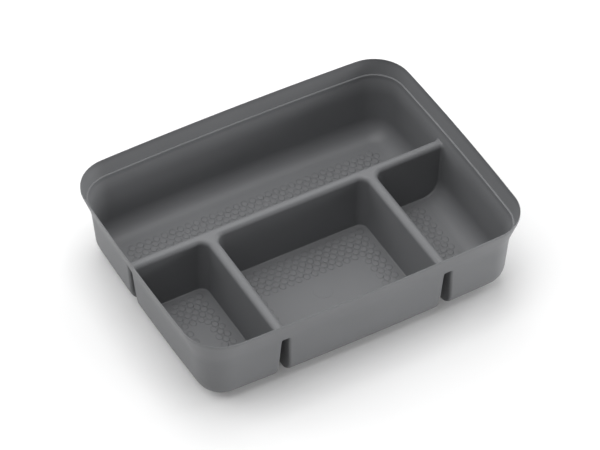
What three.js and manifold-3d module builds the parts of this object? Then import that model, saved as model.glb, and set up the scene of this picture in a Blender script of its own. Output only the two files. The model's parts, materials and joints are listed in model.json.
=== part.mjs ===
// Storage tray with four open compartments, one thin-walled polypropylene moulding.
// A long compartment runs along the back, and a left, a centre and a right one stand in front of it.
// Their dividers are hollow: two walls with a gap between them that is open below and at the sides,
// and a narrow ridge that bridges the gap at the top. Each mesh here is one region of the moulding.
// Millimetres, +Z up. The origin is under the middle of the tray, on the plane that it stands on.

import * as THREE from 'three';
import Module from 'manifold-3d';
import { mergeVertices } from 'three/addons/utils/BufferGeometryUtils.js';

const wasm = await Module();
wasm.setup();

const degrees = Math.PI / 180;

// Overall size, over the rim
const WIDTH = 340;
const DEPTH = 263.6;
const HEIGHT = 83.3;
const RIM_CORNER = 36.9; // corner radius of the rim, seen from above
const LONG_BOW = 2.2; // how far the long sides swell at their middle
const SHORT_BOW = 1.5; // the same on the short sides

// Section of the outer wall, from the rim down
const WALL = 1.8; // thickness of the walls and the floors
const RIM_BAND = 2.5; // upright edge of the rim
const FLARE = 18.4 * degrees; // lean of the wall below that edge
const WAIST_DROP = 28; // from the rim to where the flare turns steep
const WAIST_ROUND = 58; // radius of that turn
const DRAFT = 4.5 * degrees; // lean of the wall below the waist
const BASE_ROUND = 20.7; // outside radius from the wall into the floor
const BASE_CORNER = 4; // least corner radius, where the wall has turned into the floor

// Lip: the wall above the inner ledge, thinner than the rest
const LEDGE_DROP = 14.9; // from the rim to the ledge
const LIP = 1.1; // thickness of the lip

// Dividers
const RIDGE_DROP = 24.8; // from the rim to the top of the ridges
const RIDGE_WIDTH = 9.6; // over the two walls
const RIDGE_ROUND = Math.min(4.2, RIDGE_WIDTH / 2 - 0.4); // outside radius of the bends into a ridge
const LONG_RIDGE_Y = 21.6; // middle line of the ridge that runs along X
const SHORT_RIDGE_X = 82.4; // middle lines of the two that run along Y, either side of X = 0
const DIVIDER_DRAFT = 2.9 * degrees; // lean of the divider walls
const DIVIDER_FOOT = 3; // outside radius from a divider wall into the floor
const INNER_CORNER = 9; // corner radius inside, where two dividers meet
const OUTER_CORNER = 2.5; // corner radius, inside and in the slot, where a divider meets the outer wall

const GAP = 0.3; // between regions that are cut out of one another
const CORNER_STEPS = 6;
const SIDE_STEPS = 4;
const ARC_STEPS = 5;

const RIDGE_TOP = HEIGHT - RIDGE_DROP;
const SKIN_BOTTOM = RIDGE_TOP - WALL; // underside of the ridges, where the compartment walls end
const LEDGE_TOP = HEIGHT - LEDGE_DROP;

const GREY = 0x77787a;

// How far the outer face stands in from the rim's outline at height z, without the turn into the floor
function wallInset(z) {
  const drop = HEIGHT - z;
  const tangent = WAIST_ROUND * Math.tan((FLARE - DRAFT) / 2);
  const waistInset = (WAIST_DROP - RIM_BAND) * Math.tan(FLARE);
  const turnStart = WAIST_DROP - tangent * Math.cos(FLARE);
  const turnEnd = WAIST_DROP + tangent * Math.cos(DRAFT);
  if (drop <= RIM_BAND) return 0;
  if (drop <= turnStart) return (drop - RIM_BAND) * Math.tan(FLARE);
  if (drop >= turnEnd) return waistInset + (drop - WAIST_DROP) * Math.tan(DRAFT);
  const centreInset = waistInset + tangent * Math.sin(DRAFT) - WAIST_ROUND * Math.cos(DRAFT);
  const centreDrop = turnEnd + WAIST_ROUND * Math.sin(DRAFT);
  return centreInset + Math.sqrt(WAIST_ROUND ** 2 - (drop - centreDrop) ** 2);
}

// How far a divider's gap face stands from its middle line at height z, without the turn into the floor
function dividerOffset(z) {
  return RIDGE_WIDTH / 2 - WALL / Math.cos(DIVIDER_DRAFT) + (RIDGE_TOP - z) * Math.tan(DIVIDER_DRAFT);
}

// The distance that a face keeps at height z, where line(z) gives its outside and the wall turns
// into the floor on an arc of the given outside radius. The inside face is one wall further in.
function faceDistance(line, draft, round, z, inside) {
  const radius = inside ? round - WALL : round;
  if (z >= round - radius * Math.sin(draft)) return line(z) + (inside ? WALL / Math.cos(draft) : 0);
  const middle = line(round) + round / Math.cos(draft);
  return middle - Math.sqrt(Math.max(radius ** 2 - (round - z) ** 2, 0));
}

// Heights of a face's levels down the arc into the floor, from its start to the flat
function footLevels(draft, round, inside) {
  const radius = inside ? round - WALL : round;
  const levels = [];
  for (let i = 0; i <= ARC_STEPS; i++) {
    const angle = draft + (Math.PI / 2 - draft) * (i / ARC_STEPS);
    levels.push(round - radius * Math.sin(angle));
  }
  return levels;
}

// How far a divider's face has bent towards the middle line, where the wall turns into a ridge.
// The inside of a compartment is the outside of that bend.
function ridgeRoll(z, inside) {
  const radius = inside ? RIDGE_ROUND : Math.max(RIDGE_ROUND - WALL, 0);
  const rise = Math.min(Math.max(z - (RIDGE_TOP - RIDGE_ROUND), 0), radius);
  return radius - Math.sqrt(radius ** 2 - rise ** 2);
}

// A side of a region. across(z, along, inside) is its place on its own axis, and sign is +1 where
// the region ends towards plus. An outer side follows the bowed wall, a divider side is straight.
function outerSide(sign, half, bow, straight) {
  const across = (z, along, inside) => {
    const swell = bow * Math.min((along / straight) ** 2, 1);
    return sign * (half - swell - faceDistance(wallInset, DRAFT, BASE_ROUND, z, inside));
  };
  return { sign, outer: true, across };
}

function dividerSide(sign, line) {
  const across = (z, along, inside) => {
    const distance = faceDistance(dividerOffset, DIVIDER_DRAFT, DIVIDER_FOOT, z, inside);
    return line - sign * (distance - ridgeRoll(z, inside));
  };
  return { sign, outer: false, across };
}

const STRAIGHT_X = WIDTH / 2 - SHORT_BOW - RIM_CORNER; // half the length of a long side between corners
const STRAIGHT_Y = DEPTH / 2 - LONG_BOW - RIM_CORNER;
const west = outerSide(-1, WIDTH / 2, SHORT_BOW, STRAIGHT_Y);
const east = outerSide(1, WIDTH / 2, SHORT_BOW, STRAIGHT_Y);
const south = outerSide(-1, DEPTH / 2, LONG_BOW, STRAIGHT_X);
const north = outerSide(1, DEPTH / 2, LONG_BOW, STRAIGHT_X);

const tray = { west, east, south, north };
const compartments = {
  back: { west, east, south: dividerSide(-1, LONG_RIDGE_Y), north },
  left: { west, east: dividerSide(1, -SHORT_RIDGE_X), south, north: dividerSide(1, LONG_RIDGE_Y) },
  centre: {
    west: dividerSide(-1, -SHORT_RIDGE_X),
    east: dividerSide(1, SHORT_RIDGE_X),
    south,
    north: dividerSide(1, LONG_RIDGE_Y),
  },
  right: { west: dividerSide(-1, SHORT_RIDGE_X), east, south, north: dividerSide(1, LONG_RIDGE_Y) },
};

// Corner radius where two sides meet, at height z
function cornerRadius(sideX, sideY, z, inside) {
  if (sideX.outer && sideY.outer) {
    return Math.max(RIM_CORNER - faceDistance(wallInset, DRAFT, BASE_ROUND, z, inside), BASE_CORNER);
  }
  if (sideX.outer || sideY.outer) return OUTER_CORNER;
  const shell = inside ? 0 : Math.min(z, WALL);
  return INNER_CORNER + shell + ridgeRoll(z, inside);
}

// One level of a region as a closed outline, anticlockwise from above: four corners and four sides
function outline(region, z, inside, spare = 0) {
  const turns = [
    [region.east, region.north, 0],
    [region.west, region.north, 1],
    [region.west, region.south, 2],
    [region.east, region.south, 3],
  ];
  const corners = turns.map(([sideX, sideY, quarter]) => {
    const radius = cornerRadius(sideX, sideY, z, inside);
    let x = 0;
    let y = 0;
    for (let pass = 0; pass < 4; pass++) {
      x = sideX.across(z, y, inside) - sideX.sign * radius;
      y = sideY.across(z, x, inside) - sideY.sign * radius;
    }
    return { x, y, radius: radius - spare, quarter };
  });
  const points = [];
  corners.forEach((corner, index) => {
    for (let i = 0; i <= CORNER_STEPS; i++) {
      const angle = (corner.quarter + i / CORNER_STEPS) * Math.PI / 2;
      points.push([
        corner.x + corner.radius * Math.cos(angle),
        corner.y + corner.radius * Math.sin(angle),
        z,
      ]);
    }
    const next = corners[(index + 1) % 4];
    for (let i = 1; i < SIDE_STEPS; i++) {
      const x = corner.x + (next.x - corner.x) * (i / SIDE_STEPS);
      const y = corner.y + (next.y - corner.y) * (i / SIDE_STEPS);
      const side = [region.north, region.west, region.south, region.east][index];
      const alongX = index % 2 === 0;
      const across = side.across(z, alongX ? x : y, inside) - side.sign * spare;
      points.push(alongX ? [x, across, z] : [across, y, z]);
    }
  });
  return points;
}

// A mesh from rings of equally many points. Each ring joins the next; a hoop's last joins its first,
// and otherwise the first and the last are filled in flat.
function ringGeometry(rings, hoop) {
  const count = rings[0].length;
  const points = rings.flat();
  const faces = [];
  const bands = hoop ? rings.length : rings.length - 1;
  for (let level = 0; level < bands; level++) {
    const here = level * count;
    const there = ((level + 1) % rings.length) * count;
    for (let i = 0; i < count; i++) {
      const next = (i + 1) % count;
      faces.push(here + i, here + next, there + next);
      faces.push(here + i, there + next, there + i);
    }
  }
  if (!hoop) {
    const last = (rings.length - 1) * count;
    for (const [start, up] of [[0, false], [last, true]]) {
      const ring = rings[start / count];
      const middle = [0, 1, 2].map((axis) => ring.reduce((sum, point) => sum + point[axis], 0) / count);
      points.push(middle);
      for (let i = 0; i < count; i++) {
        const pair = up ? [start + i, start + (i + 1) % count] : [start + (i + 1) % count, start + i];
        faces.push(pair[0], pair[1], points.length - 1);
      }
    }
  }
  const geometry = new THREE.BufferGeometry();
  geometry.setAttribute('position', new THREE.Float32BufferAttribute(points.flat(), 3));
  geometry.setIndex(faces);
  return geometry;
}

const ascending = (levels) => [...new Set(levels)].sort((a, b) => a - b);

// Levels up the bend from a divider's wall into a ridge
function bendLevels(radius, steps) {
  const levels = [];
  for (let i = 0; i <= steps; i++) {
    levels.push(RIDGE_TOP - RIDGE_ROUND + radius * Math.sin((Math.PI / 2) * (i / steps)));
  }
  return levels;
}

// Levels of the outer wall between two heights, closest together round the waist
function wallLevels(bottom, top) {
  const tangent = WAIST_ROUND * Math.tan((FLARE - DRAFT) / 2);
  const waist = [-1, -0.5, 0, 0.5, 1].map((share) => HEIGHT - WAIST_DROP + share * tangent);
  const own = [...waist, HEIGHT - RIM_BAND].filter((z) => z > bottom + 1 && z < top - 1);
  return [bottom, ...own, top];
}

// The walls of one compartment, down to where they have turned into the flat floor
function compartmentWalls(region) {
  const face = (inside) => {
    const foot = [
      ...footLevels(DRAFT, BASE_ROUND, inside),
      ...footLevels(DIVIDER_DRAFT, DIVIDER_FOOT, inside).slice(0, -1).filter((_, i) => i % 2 === 0),
    ];
    const bend = bendLevels(Math.max(RIDGE_ROUND - WALL, 0), 3).slice(0, -1);
    const walls = wallLevels(BASE_ROUND, bend[0]).slice(1, -1);
    const levels = ascending([...foot, ...walls, ...bend, SKIN_BOTTOM]);
    return levels.map((z) => outline(region, z, inside));
  };
  return ringGeometry([...face(false), ...face(true).reverse()], true);
}

function compartmentFloor(region) {
  return ringGeometry([outline(region, 0, false), outline(region, WALL, true)], false);
}

// The wall above the compartments, up to the ledge, and the thinner lip above that
function collar() {
  const levels = wallLevels(SKIN_BOTTOM, LEDGE_TOP);
  const outside = levels.map((z) => outline(tray, z, false));
  const inside = levels.map((z) => outline(tray, z, true));
  return ringGeometry([...outside, ...inside.reverse()], true);
}

function lip() {
  const levels = wallLevels(LEDGE_TOP, HEIGHT);
  const outside = levels.map((z) => outline(tray, z, false));
  const inside = levels.map((z) => outline(tray, z, false, LIP));
  return ringGeometry([...outside, ...inside.reverse()], true);
}

function toSolid(geometry) {
  const bare = geometry.clone();
  bare.deleteAttribute('normal');
  bare.deleteAttribute('uv');
  const merged = mergeVertices(bare, 1e-5);
  const vertProperties = new Float32Array(merged.attributes.position.array);
  const triVerts = new Uint32Array(merged.index.array);
  return new wasm.Manifold(new wasm.Mesh({ numProp: 3, vertProperties, triVerts }));
}

function toGeometry(solid) {
  const mesh = solid.getMesh();
  const geometry = new THREE.BufferGeometry();
  geometry.setAttribute('position', new THREE.BufferAttribute(new Float32Array(mesh.vertProperties), 3));
  geometry.setIndex(new THREE.BufferAttribute(new Uint32Array(mesh.triVerts), 1));
  return geometry;
}

// A block between two opposite corners, to take one region out of a larger one
function block(low, high) {
  const size = high.map((value, axis) => value - low[axis]);
  const geometry = new THREE.BoxGeometry(...size);
  geometry.translate(...low.map((value, axis) => value + size[axis] / 2));
  return toSolid(geometry);
}

// The ridges: a plate just inside the outer wall, less the mouths of the four compartments, whose
// edges roll over on RIDGE_ROUND
function ridgeNetwork() {
  const plate = [SKIN_BOTTOM, RIDGE_TOP].map((z) => outline(tray, z, true, GAP));
  let network = toSolid(ringGeometry(plate, false));
  for (const region of Object.values(compartments)) {
    const bend = bendLevels(RIDGE_ROUND, ARC_STEPS).filter((z) => z > SKIN_BOTTOM);
    const rings = [SKIN_BOTTOM, ...bend].map((z) => outline(region, z, true));
    const below = rings[0].map(([x, y, z]) => [x, y, z - 1]);
    const above = rings.at(-1).map(([x, y, z]) => [x, y, z + 1]);
    network = network.subtract(toSolid(ringGeometry([below, ...rings, above], false)));
  }
  return network;
}

const group = new THREE.Group();

function add(name, geometry) {
  const material = new THREE.MeshStandardMaterial({ color: GREY, roughness: 0.5, metalness: 0 });
  const mesh = new THREE.Mesh(geometry, material);
  mesh.name = name;
  group.add(mesh);
}

add('rim_lip', lip());
add('wall_collar', collar());
for (const [name, region] of Object.entries(compartments)) {
  add(`${name}_compartment_walls`, compartmentWalls(region));
  add(`${name}_compartment_floor`, compartmentFloor(region));
}

// Each short ridge is what lies in a block in front of the long one, wide enough for the fillets
// at its two ends. The long ridge is the rest.
let longRidge = ridgeNetwork();
const root = LONG_RIDGE_Y - RIDGE_WIDTH / 2 - WALL / 2;
const reach = RIDGE_WIDTH / 2 + INNER_CORNER + OUTER_CORNER;
for (const [name, x] of [['left_ridge', -SHORT_RIDGE_X], ['right_ridge', SHORT_RIDGE_X]]) {
  const region = block([x - reach, -DEPTH, 0], [x + reach, root - GAP, HEIGHT]);
  const cut = block([x - reach - GAP, -DEPTH, 0], [x + reach + GAP, root, HEIGHT]);
  add(name, toGeometry(longRidge.intersect(region)));
  longRidge = longRidge.subtract(cut);
}
add('long_ridge', toGeometry(longRidge));

export default group;
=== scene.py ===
import json
import math

import bmesh
import bpy
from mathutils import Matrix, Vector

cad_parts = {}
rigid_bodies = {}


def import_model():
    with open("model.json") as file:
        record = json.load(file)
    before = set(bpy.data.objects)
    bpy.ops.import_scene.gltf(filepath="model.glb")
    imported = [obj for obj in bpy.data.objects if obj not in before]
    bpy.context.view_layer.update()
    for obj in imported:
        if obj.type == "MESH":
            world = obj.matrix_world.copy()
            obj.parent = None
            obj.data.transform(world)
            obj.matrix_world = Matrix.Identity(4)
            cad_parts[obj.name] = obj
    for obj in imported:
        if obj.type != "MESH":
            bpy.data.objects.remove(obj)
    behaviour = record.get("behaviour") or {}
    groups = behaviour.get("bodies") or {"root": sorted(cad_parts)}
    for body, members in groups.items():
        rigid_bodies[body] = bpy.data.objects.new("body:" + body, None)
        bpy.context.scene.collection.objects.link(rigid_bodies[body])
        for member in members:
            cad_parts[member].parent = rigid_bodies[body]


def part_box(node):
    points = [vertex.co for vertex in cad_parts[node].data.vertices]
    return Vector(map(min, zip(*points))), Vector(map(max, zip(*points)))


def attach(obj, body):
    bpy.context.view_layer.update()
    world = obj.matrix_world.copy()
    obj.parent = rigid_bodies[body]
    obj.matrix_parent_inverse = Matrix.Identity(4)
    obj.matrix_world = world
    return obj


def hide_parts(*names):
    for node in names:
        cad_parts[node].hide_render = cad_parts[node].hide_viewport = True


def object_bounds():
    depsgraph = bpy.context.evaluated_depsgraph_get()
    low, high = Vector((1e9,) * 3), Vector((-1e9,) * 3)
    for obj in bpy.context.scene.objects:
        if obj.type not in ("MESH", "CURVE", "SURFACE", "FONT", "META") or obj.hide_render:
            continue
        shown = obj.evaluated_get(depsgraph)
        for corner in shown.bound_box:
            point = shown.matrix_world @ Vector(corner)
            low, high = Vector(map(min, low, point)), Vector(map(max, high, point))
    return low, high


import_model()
cad_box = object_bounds()


# ---------------------------------------------------------------------------------------------
# Rim lip
# The thinner top of the outer wall, from the ledge inside the tray up to the rim. Like all the
# rest it is injection-moulded polypropylene, under a millimetre thick here, and the mould's
# parting line runs round the rim, so its two top edges are only just rounded.

MM = 0.001
WIDTH, DEPTH, HEIGHT = (high - low for low, high in zip(*cad_box))
RIM_CORNER = 36.9 * MM
LONG_BOW = 2.2 * MM
SHORT_BOW = 1.5 * MM
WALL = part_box("centre_compartment_floor")[1][2]
RIM_BAND = 2.5 * MM
FLARE = math.radians(18.4)
WAIST_DROP = 28 * MM
WAIST_ROUND = 58 * MM
DRAFT = math.radians(4.5)
BASE_ROUND = 20.7 * MM
BASE_CORNER = 4 * MM
LIP = 0.8 * MM
LIP_TOP = 0.5 * MM
LEDGE_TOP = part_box("rim_lip")[0][2]
RIM_EDGE = 0.2 * MM
CORNER_STEPS = 14
SIDE_STEPS = 16
EDGE_STEPS = 3


def wall_inset(z):
    """How far the wall's outer face stands in from the rim's outline at height z."""
    drop = HEIGHT - z
    tangent = WAIST_ROUND * math.tan((FLARE - DRAFT) / 2)
    waist_inset = (WAIST_DROP - RIM_BAND) * math.tan(FLARE)
    turn_end = WAIST_DROP + tangent * math.cos(DRAFT)
    if drop <= RIM_BAND:
        return 0.0
    if drop <= WAIST_DROP - tangent * math.cos(FLARE):
        return (drop - RIM_BAND) * math.tan(FLARE)
    if drop >= turn_end:
        return waist_inset + (drop - WAIST_DROP) * math.tan(DRAFT)
    centre_inset = waist_inset + tangent * math.sin(DRAFT) - WAIST_ROUND * math.cos(DRAFT)
    centre_drop = turn_end + WAIST_ROUND * math.sin(DRAFT)
    return centre_inset + math.sqrt(WAIST_ROUND**2 - (drop - centre_drop) ** 2)


def face_distance(line, draft, turn, z, inside):
    """A face's distance at height z: line(z), until the wall turns into the floor on an arc."""
    radius = turn - WALL if inside else turn
    if z >= turn - radius * math.sin(draft):
        return line(z) + (WALL / math.cos(draft) if inside else 0)
    middle = line(turn) + turn / math.cos(draft)
    return middle - math.sqrt(max(radius**2 - (turn - z) ** 2, 0))


def outer_side(sign, half, bow, straight):
    """One side of the outer wall. It swells by bow at its middle, between the rim's corners."""
    def place(z, along, inside):
        swell = bow * min((along / straight) ** 2, 1)
        return sign * (half - swell - face_distance(wall_inset, DRAFT, BASE_ROUND, z, inside))
    return {"sign": sign, "outer": True, "place": place}


def wall_corner(z, inside):
    """Corner radius of the outer wall: all its outlines turn about the rim's own corner centres."""
    return max(RIM_CORNER - face_distance(wall_inset, DRAFT, BASE_ROUND, z, inside), BASE_CORNER)


def outline(region, z, inside, beyond=0.0):
    """A region's outline at height z, anticlockwise. beyond sets its outer sides further out."""
    corners = []
    for quarter, (side_x, side_y) in enumerate(region["turns"]):
        radius = region["corner"](side_x, side_y, z, inside)
        x = y = 0.0
        for _ in range(4):
            x = side_x["place"](z, y, inside) - side_x["sign"] * radius
            y = side_y["place"](z, x, inside) - side_y["sign"] * radius
        if side_x["outer"] and side_y["outer"]:
            radius += beyond
        corners.append((x, y, radius, quarter))
    points = []
    for x, y, radius, quarter in corners:
        for step in range(CORNER_STEPS + 1):
            angle = (quarter + step / CORNER_STEPS) * math.pi / 2
            points.append((x + radius * math.cos(angle), y + radius * math.sin(angle), z))
        along_x = quarter % 2 == 0
        side = region["turns"][quarter][1 if along_x else 0]
        end_x, end_y = corners[(quarter + 1) % 4][:2]
        for step in range(1, SIDE_STEPS):
            share = (1 - math.cos(math.pi * step / SIDE_STEPS)) / 2
            along = x + (end_x - x) * share if along_x else y + (end_y - y) * share
            across = side["place"](z, along, inside)
            across += side["sign"] * beyond if side["outer"] else 0
            points.append((along, across, z) if along_x else (across, along, z))
    return points


def lip_thickness(z):
    """The lip's thickness at height z. It thins towards its top, behind the rim's upright band."""
    return LIP - (LIP - LIP_TOP) * max(z - (HEIGHT - RIM_BAND), 0) / (RIM_BAND - RIM_EDGE)


def loft(name, outlines, hoop=True):
    """A circle drawn to the first outline and extruded from each outline to the next.

    A hoop's last outline is bridged to its first. Otherwise both ends are filled.
    """
    count = len(outlines[0])
    bpy.ops.object.select_all(action="DESELECT")
    bpy.ops.mesh.primitive_circle_add(vertices=count, fill_type="NOTHING" if hoop else "NGON")
    piece = bpy.context.object
    piece.name = piece.data.name = name
    bpy.ops.object.mode_set(mode="EDIT")
    row = {}
    for level, points in enumerate(outlines):
        if level:
            bpy.ops.mesh.extrude_region_move()
        edit = bmesh.from_edit_mesh(piece.data)
        edit.verts.index_update()
        below, row = row, {}
        for vertex in edit.verts:
            if vertex.select and level:
                ends = (edge.other_vert(vertex) for edge in vertex.link_edges)
                row[vertex.index] = next(below[end.index] for end in ends if not end.select)
            elif vertex.select:
                row[vertex.index] = vertex.index
        edit.verts.ensure_lookup_table()
        for index, place in row.items():
            edit.verts[index].co = points[place]
        bmesh.update_edit_mesh(piece.data)
    if hoop:
        edit.select_mode = {"VERT"}
        for vertex in edit.verts:
            vertex.select = vertex.index < count or vertex.index in row
        edit.select_flush_mode()
        bpy.ops.mesh.bridge_edge_loops()
    bpy.ops.mesh.select_all(action="SELECT")
    bpy.ops.mesh.normals_make_consistent(inside=False)
    bpy.ops.object.mode_set(mode="OBJECT")
    bpy.ops.object.shade_smooth_by_angle(angle=math.radians(35))
    return piece


def levels_between(low, high, steps):
    return [low + (high - low) * step / steps for step in range(steps + 1)]


def linear(hex_colour):
    """A colour given as sRGB hex, as the linear values that a shader takes."""
    parts = [int(hex_colour[i:i + 2], 16) / 255 for i in (1, 3, 5)]
    return [p / 12.92 if p <= 0.04045 else ((p + 0.055) / 1.055) ** 2.4 for p in parts] + [1.0]


def add_node(tree, kind, inputs=None, **settings):
    """A node with its settings, and its inputs given as values or as the sockets that feed them."""
    node = tree.nodes.new(kind)
    for key, value in settings.items():
        setattr(node, key, value)
    for socket, value in (inputs or {}).items():
        if isinstance(value, bpy.types.NodeSocket):
            tree.links.new(value, node.inputs[socket])
        else:
            node.inputs[socket].default_value = value
    return node


def moulded_polypropylene(name, roughness, grain):
    """Dark grey polypropylene from a spark-eroded mould: a satin skin with a fine even grain,
    barely mottled where the melt has flowed, and a little smoother in some patches."""
    material = bpy.data.materials.new(name)
    material.use_nodes = True
    tree = material.node_tree
    tree.nodes.clear()
    place = add_node(tree, "ShaderNodeTexCoord").outputs["Object"]
    flow = add_node(tree, "ShaderNodeTexNoise", {"Vector": place, "Scale": 1 / (45 * MM), "Detail": 3.0})
    tint = add_node(tree, "ShaderNodeMix", {"Factor": flow.outputs["Fac"]}, data_type="RGBA")
    tint.inputs["A"].default_value = linear("#6b6c6e")
    tint.inputs["B"].default_value = linear("#717274")
    sheen = add_node(tree, "ShaderNodeMapRange", {"Value": flow.outputs["Fac"]})
    sheen.inputs["To Min"].default_value = roughness - 0.03
    sheen.inputs["To Max"].default_value = roughness + 0.03
    # The real grain is about 0.1 mm wide. It is drawn at 0.7 mm, the finest that still shows.
    pits = add_node(tree, "ShaderNodeTexNoise", {"Vector": place, "Scale": 1 / (0.7 * MM), "Detail": 2.0})
    bump = add_node(
        tree, "ShaderNodeBump",
        {"Height": pits.outputs["Fac"], "Strength": grain, "Distance": 0.05 * MM},
    )
    skin = add_node(
        tree, "ShaderNodeBsdfPrincipled",
        {"Base Color": tint.outputs["Result"], "Roughness": sheen.outputs["Result"],
         "Normal": bump.outputs["Normal"], "IOR": 1.49},
    )
    add_node(tree, "ShaderNodeOutputMaterial", {"Surface": skin.outputs["BSDF"]})
    return material


STRAIGHT_X = WIDTH / 2 - SHORT_BOW - RIM_CORNER
STRAIGHT_Y = DEPTH / 2 - LONG_BOW - RIM_CORNER
east = outer_side(1, WIDTH / 2, SHORT_BOW, STRAIGHT_Y)
west = outer_side(-1, WIDTH / 2, SHORT_BOW, STRAIGHT_Y)
north = outer_side(1, DEPTH / 2, LONG_BOW, STRAIGHT_X)
south = outer_side(-1, DEPTH / 2, LONG_BOW, STRAIGHT_X)
tray = {
    "turns": [(east, north), (west, north), (west, south), (east, south)],
    "corner": lambda side_x, side_y, z, inside: wall_corner(z, inside),
}

rim_edge = [math.pi / 2 * step / EDGE_STEPS for step in range(EDGE_STEPS + 1)]
lip_levels = levels_between(LEDGE_TOP, HEIGHT - RIM_BAND, 5)
lip_levels += levels_between(HEIGHT - RIM_BAND, HEIGHT - RIM_EDGE, 2)[1:]
lip_outside = [outline(tray, z, False) for z in lip_levels]
lip_inside = [outline(tray, z, False, -lip_thickness(z)) for z in reversed(lip_levels)]
lip_top = [
    [(x, y, HEIGHT - RIM_EDGE + RIM_EDGE * math.sin(angle)) for x, y, _ in
     outline(tray, HEIGHT, False, -RIM_EDGE * (1 - math.cos(angle)))]
    for angle in rim_edge[1:]
] + [
    [(x, y, HEIGHT - RIM_EDGE + RIM_EDGE * math.sin(angle)) for x, y, _ in
     outline(tray, HEIGHT, False, -LIP_TOP + RIM_EDGE * (1 - math.cos(angle)))]
    for angle in reversed(rim_edge[1:])
]
rim = loft("lip", lip_outside + lip_top + lip_inside)
wall_plastic = moulded_polypropylene("moulded_polypropylene", 0.5, 0.25)
rim.data.materials.append(wall_plastic)
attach(rim, "root")
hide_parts("rim_lip")


# ---------------------------------------------------------------------------------------------
# Wall collar
# The full-thickness wall all round, from the ridges up to the ledge. The ledge is the top of its
# inner half, left where the core is a little wider for the lip. The wall swells inwards just
# under it, so the ledge shows as a clear line all round the tray.

SKIN_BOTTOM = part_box("wall_collar")[0][2]
LEDGE_EDGE = 0.5 * MM
LEDGE_SWELL = 0.6 * MM
SWELL_DROP = 3 * MM

collar_levels = levels_between(SKIN_BOTTOM, LEDGE_TOP, 10)
collar_outside = [outline(tray, z, False) for z in collar_levels]
ledge = [
    [(x, y, LEDGE_TOP - LEDGE_EDGE + LEDGE_EDGE * math.sin(angle)) for x, y, _ in
     outline(tray, LEDGE_TOP, True, LEDGE_EDGE * (1 - math.cos(angle)) - LEDGE_SWELL)]
    for angle in reversed(rim_edge)
]
collar_inside = [
    outline(tray, z, True, -LEDGE_SWELL * max(1 - (LEDGE_TOP - z) / SWELL_DROP, 0))
    for z in reversed(collar_levels[:-1])
]
collar = loft("collar", collar_outside + ledge + collar_inside)
collar.data.materials.append(wall_plastic)
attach(collar, "root")
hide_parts("wall_collar")


# ---------------------------------------------------------------------------------------------
# Compartment walls
# Four cups hang from the collar and the ridges. Against the outside a cup follows the outer wall
# and turns into its floor on a wide arc. Against a divider it has a wall of its own, nearly
# upright, with a tight turn at its foot, and a narrow gap parts it from the next cup's wall.

RIDGE_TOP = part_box("long_ridge")[1][2]
RIDGE_WIDTH = 9.6 * MM
RIDGE_ROUND = 4.2 * MM
LONG_RIDGE_Y = (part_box("centre_compartment_walls")[1][1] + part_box("back_compartment_walls")[0][1]) / 2
SHORT_RIDGE_X = (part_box("centre_compartment_walls")[1][0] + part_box("right_compartment_walls")[0][0]) / 2
DIVIDER_DRAFT = math.radians(2.9)
DIVIDER_FOOT = 3 * MM
INNER_CORNER = 9 * MM
OUTER_CORNER = 2.5 * MM
FOOT_STEPS = 9
BEND_STEPS = 6


def divider_offset(z):
    """How far a divider's face towards the gap stands from its middle line at height z."""
    top = RIDGE_WIDTH / 2 - WALL / math.cos(DIVIDER_DRAFT)
    return top + (RIDGE_TOP - z) * math.tan(DIVIDER_DRAFT)


def ridge_roll(z, inside):
    """How far a divider's face has bent towards its middle line, where it turns into a ridge."""
    radius = RIDGE_ROUND if inside else RIDGE_ROUND - WALL
    rise = min(max(z - (RIDGE_TOP - RIDGE_ROUND), 0), radius)
    return radius - math.sqrt(radius**2 - rise**2)


def bend_levels(radius, steps):
    """Heights up the bend from a divider's wall into a ridge."""
    start = RIDGE_TOP - RIDGE_ROUND
    return [start + radius * math.sin(math.pi / 2 * step / steps) for step in range(steps + 1)]


def divider_side(sign, line):
    def place(z, along, inside):
        distance = face_distance(divider_offset, DIVIDER_DRAFT, DIVIDER_FOOT, z, inside)
        return line - sign * (distance - ridge_roll(z, inside))
    return {"sign": sign, "outer": False, "place": place}


def cup_corner(side_x, side_y, z, inside):
    """Corner radius of a cup: the outer wall's own, or a small one where a divider meets it."""
    if side_x["outer"] and side_y["outer"]:
        return wall_corner(z, inside)
    if side_x["outer"] or side_y["outer"]:
        return OUTER_CORNER
    shell = 0 if inside else min(z, WALL)
    return INNER_CORNER + shell + ridge_roll(z, inside)


def cup(east_side, north_side, west_side, south_side):
    sides = [
        (east_side, north_side), (west_side, north_side), (west_side, south_side), (east_side, south_side),
    ]
    return {"turns": sides, "corner": cup_corner}


def foot_levels(draft, turn, inside, steps):
    """Heights down the arc from a wall into the floor."""
    radius = turn - WALL if inside else turn
    angles = [draft + (math.pi / 2 - draft) * step / steps for step in range(steps + 1)]
    return [turn - radius * math.sin(angle) for angle in angles]


def cup_faces(region, inside):
    """A cup's outlines from its floor up, close together where its walls turn."""
    heights = foot_levels(DRAFT, BASE_ROUND, inside, FOOT_STEPS)
    heights += foot_levels(DIVIDER_DRAFT, DIVIDER_FOOT, inside, FOOT_STEPS // 2)[:-1]
    heights += [DIVIDER_FOOT + 0.5 * MM, BASE_ROUND, BASE_ROUND + 1.5 * MM]
    heights += levels_between(HEIGHT - WAIST_DROP - 8 * MM, RIDGE_TOP - RIDGE_ROUND, 5)
    heights += bend_levels(RIDGE_ROUND - WALL, BEND_STEPS)
    rounded = sorted({round(z, 6) for z in heights if z > 0.2 * MM + (WALL if inside else 0)})
    return [outline(region, z, inside) for z in [WALL if inside else 0.0] + rounded]


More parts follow.
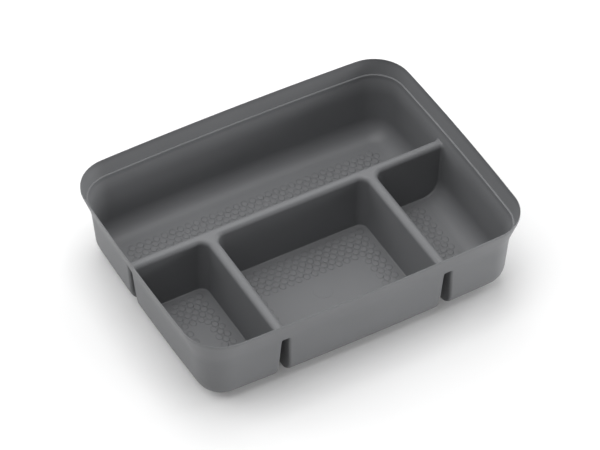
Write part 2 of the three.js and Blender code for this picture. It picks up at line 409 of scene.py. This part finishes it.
to_south, to_north = divider_side(-1, LONG_RIDGE_Y), divider_side(1, LONG_RIDGE_Y)
cups = {
    "back": cup(east, north, west, to_south),
    "left": cup(divider_side(1, -SHORT_RIDGE_X), to_north, west, south),
    "centre": cup(divider_side(1, SHORT_RIDGE_X), to_north, divider_side(-1, -SHORT_RIDGE_X), south),
    "right": cup(east, to_north, divider_side(-1, SHORT_RIDGE_X), south),
}
for name, region in cups.items():
    walls = loft(f"{name}_cup", cup_faces(region, False) + cup_faces(region, True)[::-1])
    walls.data.materials.append(wall_plastic)
    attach(walls, "root")
    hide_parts(f"{name}_compartment_walls")


# ---------------------------------------------------------------------------------------------
# Ridges
# The dividers' tops, where the wall sheet folds over from one cup into the next. They are cut
# from one plate, whose edge lies inside the collar's wall, by the mouths of the four cups.

def boolean(piece, cutter, operation):
    """Cuts piece with a closed cutter, which is used up."""
    cut = piece.modifiers.new("cut", "BOOLEAN")
    cut.object = cutter
    cut.operation = operation
    cut.solver = "EXACT"
    bpy.ops.object.select_all(action="DESELECT")
    bpy.context.view_layer.objects.active = piece
    piece.select_set(True)
    bpy.ops.object.modifier_apply(modifier=cut.name)
    bpy.data.objects.remove(cutter)


def block(x_range, y_range):
    """A cutter over the full height of the ridges, between two values of X and two of Y."""
    bpy.ops.object.select_all(action="DESELECT")
    bpy.ops.mesh.primitive_cube_add(size=1)
    bpy.ops.object.mode_set(mode="EDIT")
    size = (x_range[1] - x_range[0], y_range[1] - y_range[0], HEIGHT)
    bpy.ops.transform.resize(value=size)
    bpy.ops.transform.translate(value=(sum(x_range) / 2, sum(y_range) / 2, HEIGHT / 2))
    bpy.ops.object.mode_set(mode="OBJECT")
    return bpy.context.object


def finish_ridge(piece, name, node):
    """Flat faces keep flat normals beside the rolled edges."""
    piece.name = piece.data.name = name
    bpy.ops.object.select_all(action="DESELECT")
    bpy.context.view_layer.objects.active = piece
    piece.select_set(True)
    bpy.ops.object.shade_smooth_by_angle(angle=math.radians(35))
    bpy.ops.object.modifier_add(type="WEIGHTED_NORMAL")
    piece.modifiers[-1].keep_sharp = True
    bpy.ops.object.modifier_apply(modifier=piece.modifiers[-1].name)
    piece.data.materials.append(wall_plastic)
    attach(piece, "root")
    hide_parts(node)


EMBED = 0.05 * MM
plate = loft("long_ridge_top", [outline(tray, z, True, EMBED) for z in (SKIN_BOTTOM, RIDGE_TOP)], hoop=False)
bend = [SKIN_BOTTOM] + [z for z in bend_levels(RIDGE_ROUND, 3 * BEND_STEPS) if z > SKIN_BOTTOM + 0.02 * MM]
for region in cups.values():
    mouth = [outline(region, z, True, 2 * EMBED) for z in bend]
    mouth.insert(0, [(x, y, z - WALL) for x, y, z in mouth[0]])
    mouth.append([(x, y, z + WALL) for x, y, z in mouth[-1]])
    boolean(plate, loft("mouth", mouth, hoop=False), "DIFFERENCE")
ROOT_OVERLAP = 0.15 * MM
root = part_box("left_ridge")[1][1] + ROOT_OVERLAP
reach = RIDGE_WIDTH / 2 + INNER_CORNER + OUTER_CORNER
for name, middle in (("left", -SHORT_RIDGE_X), ("right", SHORT_RIDGE_X)):
    short = plate.copy()
    short.data = plate.data.copy()
    bpy.context.collection.objects.link(short)
    span = (middle - reach, middle + reach)
    boolean(short, block(span, (-DEPTH, root)), "INTERSECT")
    boolean(plate, block(span, (-DEPTH, root)), "DIFFERENCE")
    finish_ridge(short, f"{name}_ridge_top", f"{name}_ridge")
finish_ridge(plate, "long_ridge_top", "long_ridge")


# ---------------------------------------------------------------------------------------------
# Compartment floors
# Flat panels that close the cups. Dimples sunk in the core's end leave low rounded bumps on them
# in staggered rows, so that things don't slide. The three front floors keep a plain field in the
# middle, and the centre one has the round mark of the gate there.

BUMP_PITCH_X = 8.36 * MM
BUMP_PITCH_Y = 10.46 * MM
BUMP_WIDTH = 6.4 * MM
BUMP_LENGTH = 7.4 * MM
BUMP_HEIGHT = 0.24 * MM
MARGIN = 0.2 * MM
PLAIN_DEPTH = 43 * MM
GATE_MARK = 18 * MM
GATE_RISE = 0.15 * MM
GATE_EDGE = 0.12 * MM
plain_fields = {"left": (-119 * MM, 20 * MM), "centre": (0, 102 * MM), "right": (119 * MM, 20 * MM)}


def bump(name, x, y):
    """One low round bump with its lower half sunk in the panel."""
    bpy.ops.object.select_all(action="DESELECT")
    bpy.ops.mesh.primitive_uv_sphere_add(segments=10, ring_count=6, radius=1)
    piece = bpy.context.object
    piece.name = piece.data.name = name
    bpy.ops.object.mode_set(mode="EDIT")
    bpy.ops.transform.resize(value=(BUMP_WIDTH / 2, BUMP_LENGTH / 2, BUMP_HEIGHT))
    bpy.ops.transform.translate(value=(x, y, WALL))
    bpy.ops.object.mode_set(mode="OBJECT")
    bpy.ops.object.shade_smooth()
    return piece


def repeat(piece, count_x, count_y):
    """Fills rows along X and Y with copies of a bump."""
    for step, count in (((BUMP_PITCH_X, 0, 0), count_x), ((0, BUMP_PITCH_Y, 0), count_y)):
        rows = piece.modifiers.new("rows", "ARRAY")
        rows.use_relative_offset = False
        rows.use_constant_offset = True
        rows.constant_offset_displace = step
        rows.count = count
        bpy.context.view_layer.objects.active = piece
        bpy.ops.object.modifier_apply(modifier=rows.name)


def clear_field(piece, field_x, field_y):
    """Deletes the bumps whose middles lie in a field."""
    bpy.ops.object.select_all(action="DESELECT")
    bpy.context.view_layer.objects.active = piece
    piece.select_set(True)
    bpy.ops.object.mode_set(mode="EDIT")
    bpy.ops.mesh.select_all(action="DESELECT")
    edit = bmesh.from_edit_mesh(piece.data)
    for vertex in edit.verts:
        x, y, z = vertex.co
        middle = z > WALL + 0.99 * BUMP_HEIGHT
        vertex.select = middle and field_x[0] < x < field_x[1] and field_y[0] < y < field_y[1]
    edit.select_flush_mode()
    bmesh.update_edit_mesh(piece.data)
    bpy.ops.mesh.select_linked()
    bpy.ops.mesh.delete(type="VERT")
    bpy.ops.object.mode_set(mode="OBJECT")


def first_and_count(low, high, pitch, shift):
    """The first place of a row of the tray's one lattice between low and high, and their number."""
    first = math.ceil((low - shift) / pitch)
    return first * pitch + shift, math.floor((high - shift) / pitch) - first + 1


floor_plastic = moulded_polypropylene("moulded_polypropylene_floor", 0.55, 0.25)
for name, region in cups.items():
    panel = loft(f"{name}_floor", [outline(region, 0.0, False), outline(region, WALL, True)], hoop=False)
    low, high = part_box(f"{name}_compartment_floor")
    inset_x = MARGIN + WALL + BUMP_WIDTH / 2
    inset_y = MARGIN + WALL + BUMP_LENGTH / 2
    grid = []
    for shift_x, shift_y in ((BUMP_PITCH_X / 2, 0), (0, BUMP_PITCH_Y / 2)):
        start_x, count_x = first_and_count(low[0] + inset_x, high[0] - inset_x, BUMP_PITCH_X, shift_x)
        start_y, count_y = first_and_count(low[1] + inset_y, high[1] - inset_y, BUMP_PITCH_Y, shift_y)
        rows = bump("rows", start_x, start_y)
        repeat(rows, count_x, count_y)
        if name in plain_fields:
            middle_x, width = plain_fields[name]
            middle_y = (low[1] + high[1]) / 2
            field_x = (middle_x - width / 2, middle_x + width / 2)
            clear_field(rows, field_x, (middle_y - PLAIN_DEPTH / 2, middle_y + PLAIN_DEPTH / 2))
        grid.append(rows)
    if name == "centre":
        bpy.ops.object.select_all(action="DESELECT")
        bpy.ops.mesh.primitive_cylinder_add(vertices=48, radius=GATE_MARK / 2, depth=2 * GATE_RISE)
        mark = bpy.context.object
        bpy.ops.object.mode_set(mode="EDIT")
        bpy.ops.transform.translate(value=(0, (low[1] + high[1]) / 2, WALL))
        bpy.ops.mesh.select_mode(type="FACE")
        bpy.ops.mesh.select_all(action="DESELECT")
        edit = bmesh.from_edit_mesh(mark.data)
        for face in edit.faces:
            face.select = face.normal.z > 0.9
        bmesh.update_edit_mesh(mark.data)
        bpy.ops.mesh.bevel(offset=GATE_EDGE, segments=2)
        bpy.ops.object.mode_set(mode="OBJECT")
        grid.append(mark)
    bpy.ops.object.select_all(action="DESELECT")
    for piece in (*grid, panel):
        piece.select_set(True)
    bpy.context.view_layer.objects.active = panel
    bpy.ops.object.join()
    panel.data.materials.clear()
    panel.data.materials.append(floor_plastic)
    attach(panel, "root")
    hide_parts(f"{name}_compartment_floor")


# ---------------------------------------------------------------------------------------------
# Studio
# A white table that fills the view, softboxes all round at low and middle heights with the
# strongest low down at the front, and a long lens from above the front left-hand corner.

TABLE_SIZE = 40
TABLE_DROP = 0.1 * MM
TABLE_WHITE = (0.85, 0.85, 0.85, 1)
TABLE_GLOW = 0.066
SURROUND = 0.2

bpy.ops.mesh.primitive_plane_add(size=TABLE_SIZE, location=(0, 0, -TABLE_DROP))
table = bpy.context.object
table.name = "table"
white = bpy.data.materials.new("white_table")
white.use_nodes = True
white.node_tree.nodes.clear()
paper = add_node(white.node_tree, "ShaderNodeBsdfDiffuse", {"Color": TABLE_WHITE})
glow = add_node(white.node_tree, "ShaderNodeEmission", {"Strength": TABLE_GLOW})
both = add_node(
    white.node_tree, "ShaderNodeAddShader", {0: paper.outputs["BSDF"], 1: glow.outputs["Emission"]},
)
add_node(white.node_tree, "ShaderNodeOutputMaterial", {"Surface": both.outputs["Shader"]})
table.data.materials.append(white)

world = bpy.data.worlds.new("studio")
world.use_nodes = True
world.node_tree.nodes["Background"].inputs["Color"].default_value = (1, 1, 1, 1)
world.node_tree.nodes["Background"].inputs["Strength"].default_value = SURROUND
bpy.context.scene.world = world

# Each softbox faces the tray: its turn from +X and its height in degrees, its size in metres, watts.
SOFTBOX_DISTANCE = 2.6
softboxes = {
    "overhead": (0, 90, 1.6, 1.6, 29.6),
    "front_low": (315, 8, 1.6, 0.6, 31.7),
    "right_low": (0, 8, 1.6, 0.6, 10.0),
    "right": (0, 22, 1.6, 1.6, 19.5),
    "back": (90, 22, 1.6, 1.6, 5.4),
    "back_left": (135, 22, 1.6, 1.6, 19.5),
    "back_right_high": (60, 55, 1.6, 1.6, 15.9),
    "back_left_high": (120, 55, 1.6, 1.6, 4.9),
    "left_high": (180, 55, 1.6, 1.6, 14.7),
}
for name, (azimuth, elevation, width, height, watts) in softboxes.items():
    lamp = bpy.data.lights.new(name, "AREA")
    lamp.shape = "RECTANGLE"
    lamp.size = width
    lamp.size_y = height
    lamp.energy = watts
    softbox = bpy.data.objects.new(name, lamp)
    bpy.context.collection.objects.link(softbox)
    azimuth = math.radians(azimuth)
    elevation = math.radians(elevation)
    softbox.location = (
        SOFTBOX_DISTANCE * math.cos(azimuth) * math.cos(elevation),
        SOFTBOX_DISTANCE * math.sin(azimuth) * math.cos(elevation),
        SOFTBOX_DISTANCE * math.sin(elevation),
    )
    softbox.rotation_euler = softbox.location.to_track_quat("Z", "Y").to_euler()

CAMERA_TURN = math.radians(-29.41)
CAMERA_HEIGHT = math.radians(45.45)
CAMERA_DISTANCE = 3390 * MM
CAMERA_RISE = 33.8 * MM
CAMERA_SHIFT = 0.4 * MM
CAMERA_LENS = 223.4
SENSOR_WIDTH = 36
camera = bpy.data.objects.new("camera", bpy.data.cameras.new("camera"))
bpy.context.collection.objects.link(camera)
camera.rotation_euler = (math.pi / 2 - CAMERA_HEIGHT, 0, CAMERA_TURN)
turn = camera.rotation_euler.to_matrix()
camera.location = (
    turn.col[2] * CAMERA_DISTANCE + turn.col[1] * CAMERA_RISE + turn.col[0] * CAMERA_SHIFT
)
camera.data.sensor_width = SENSOR_WIDTH
camera.data.lens = CAMERA_LENS
camera.data.clip_end = 20
bpy.context.scene.camera = camera
bpy.context.scene.view_settings.view_transform = "Standard"
